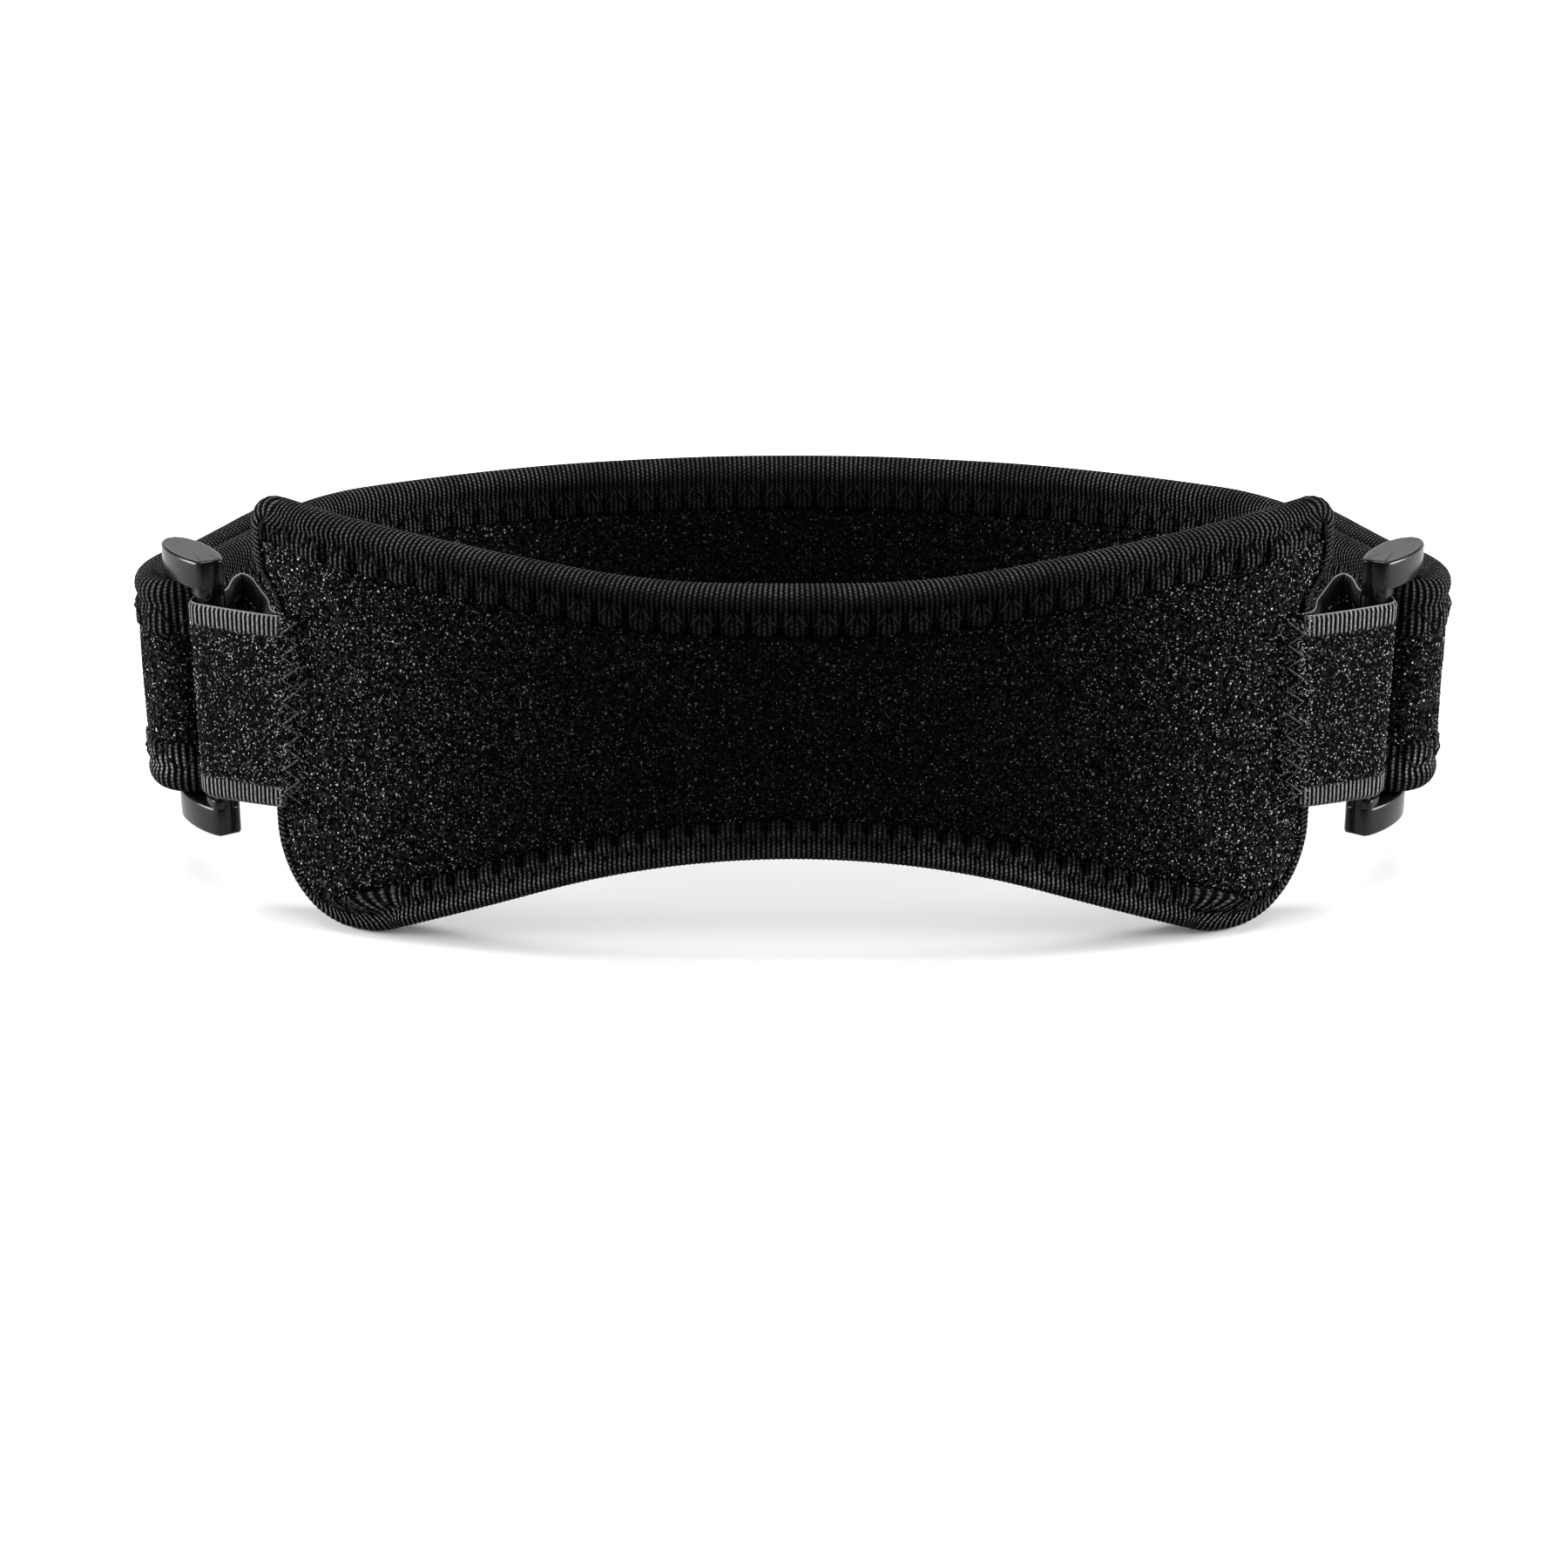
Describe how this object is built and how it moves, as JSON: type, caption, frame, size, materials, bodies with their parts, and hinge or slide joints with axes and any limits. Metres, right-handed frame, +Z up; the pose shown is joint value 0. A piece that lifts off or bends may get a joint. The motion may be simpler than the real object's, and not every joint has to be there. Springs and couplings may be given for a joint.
{
  "type": "patella strap",
  "caption": "Knee support strap: a bound butterfly pad in front, webbing straps to rectangular rings at both sides and an adjustable bound band behind.",
  "frame": {"origin": "centre of the footprint's box, at the level that the strap stands on", "axes": "+Z up, +X along the width to the wearer's left when the pad faces forwards, the pad faces -Y and the back band lies towards +Y"},
  "size_m": [0.1998, 0.0932, 0.0641],
  "materials": {
    "loop_cloth": "matt knitted loop cloth on foam, with sparkling loops",
    "binding_tape": "ribbed elastic binding tape",
    "webbing": "looped webbing with ribbed edges",
    "ring_plastic": "satin moulded plastic",
    "hook_tape": "matt hook tape"
  },
  "bodies": {
    "root": {"front_pad": "loop_cloth", "front_pad_binding": "binding_tape", "back_band": "loop_cloth", "back_band_binding": "binding_tape", "left_strap": "webbing", "right_strap": "webbing", "left_ring": "ring_plastic", "right_ring": "ring_plastic", "left_hook_patch": "hook_tape", "right_hook_patch": "hook_tape"}
  },
  "joints": []
}
